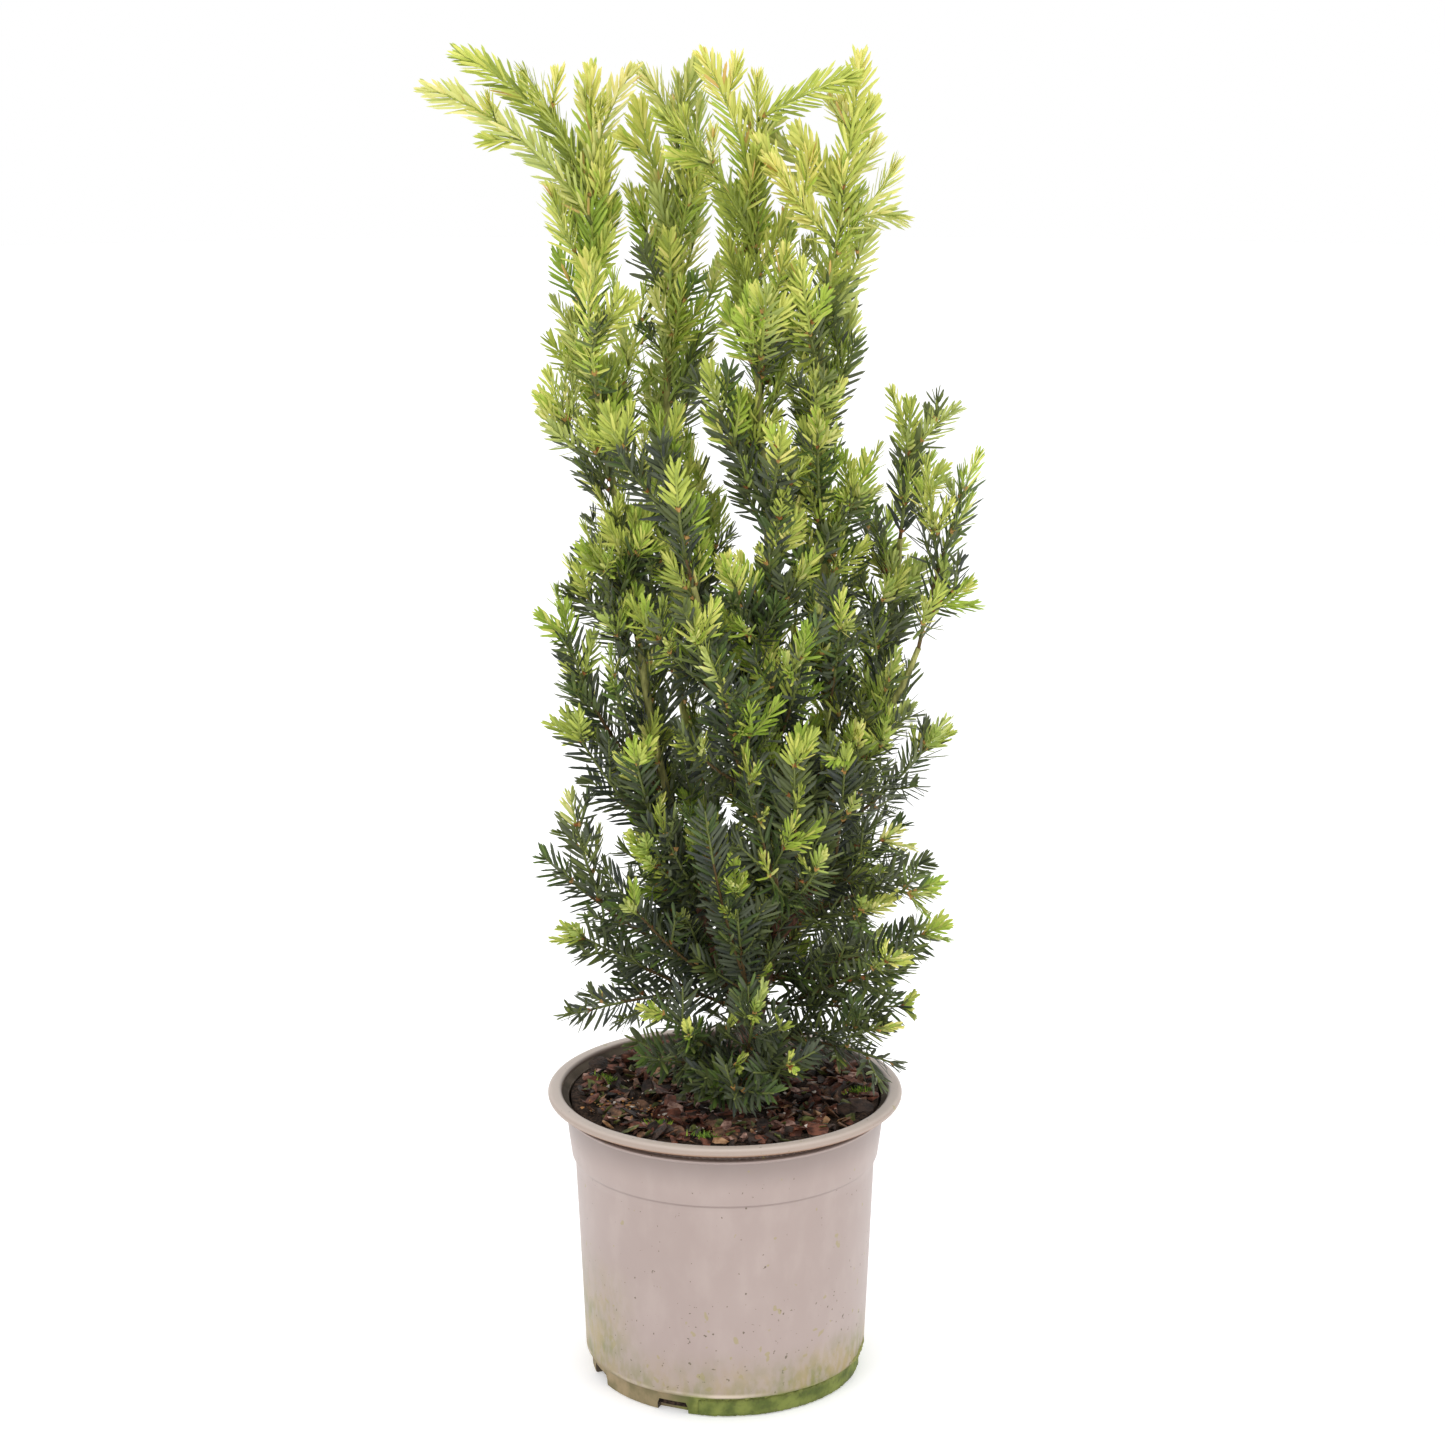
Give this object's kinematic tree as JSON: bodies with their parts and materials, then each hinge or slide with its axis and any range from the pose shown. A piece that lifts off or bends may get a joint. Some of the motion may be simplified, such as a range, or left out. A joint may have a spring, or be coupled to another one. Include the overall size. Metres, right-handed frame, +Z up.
{
  "type": "potted yew shrub",
  "caption": "Young upright yew with several stems, flat needle sprays and bright tips, growing in a round nursery pot of potting mix.",
  "frame": {"origin": "centre of the pot's flat underside, on the pot's axis", "axes": "+Z up along the pot's axis; the picture looks along +Y, with +X to the right"},
  "size_m": [0.3921, 0.2714, 0.9652],
  "materials": {
    "pot_plastic": "satin taupe, weathered, green algae at the foot",
    "potting_mix": "dark moist mix with reddish-brown bark chips and a little moss",
    "bark": "thin flaking reddish-brown bark, green on the young upper stems",
    "young_foliage": "fresh yellow-green needles, satin",
    "old_foliage": "dark blue-green needles, satin above and paler below"
  },
  "bodies": {
    "root": {"back_crown": "young_foliage", "back_east_mid": "young_foliage", "back_front_mid": "young_foliage", "back_limb": "bark", "back_low": "old_foliage", "back_rear_foot": "old_foliage", "back_rear_mid": "young_foliage", "bough_east_foot": "old_foliage", "bough_east_high": "old_foliage", "bough_east_low": "old_foliage", "bough_front_east": "old_foliage", "bough_north": "old_foliage", "bough_north_low": "old_foliage", "bough_south_foot": "old_foliage", "bough_south_high": "old_foliage", "bough_south_mid": "old_foliage", "bough_west_front": "old_foliage", "bough_west_high": "old_foliage", "bough_west_mid": "old_foliage", "far_crown": "young_foliage", "far_limb": "bark", "front_crown": "young_foliage", "front_limb": "bark", "front_low": "old_foliage", "front_west_low": "young_foliage", "left_back_mid": "young_foliage", "left_crown": "young_foliage", "left_front_mid": "young_foliage", "left_limb": "bark", "left_shoulder": "young_foliage", "left_skirt_foot": "old_foliage", "left_skirt_low": "young_foliage", "left_west_low": "young_foliage", "middle_back_high": "young_foliage", "middle_crown": "young_foliage", "middle_east_low": "young_foliage", "middle_front_foot": "old_foliage", "middle_front_high": "young_foliage", "middle_front_low": "young_foliage", "middle_limb": "bark", "middle_low": "old_foliage", "middle_west_low": "young_foliage", "outer_crown": "young_foliage", "outer_front_low": "young_foliage", "outer_limb": "bark", "outer_west_low": "young_foliage", "pot": "pot_plastic", "right_back_low": "young_foliage", "right_back_mid": "young_foliage", "right_crown": "young_foliage", "right_east_foot": "young_foliage", "right_front_foot": "young_foliage", "right_front_high": "young_foliage", "right_front_low": "young_foliage", "right_front_mid": "young_foliage", "skirt_east_high": "old_foliage", "skirt_east_low": "old_foliage", "skirt_east_mid": "old_foliage", "substrate": "potting_mix", "trunk": "bark"}
  },
  "joints": []
}
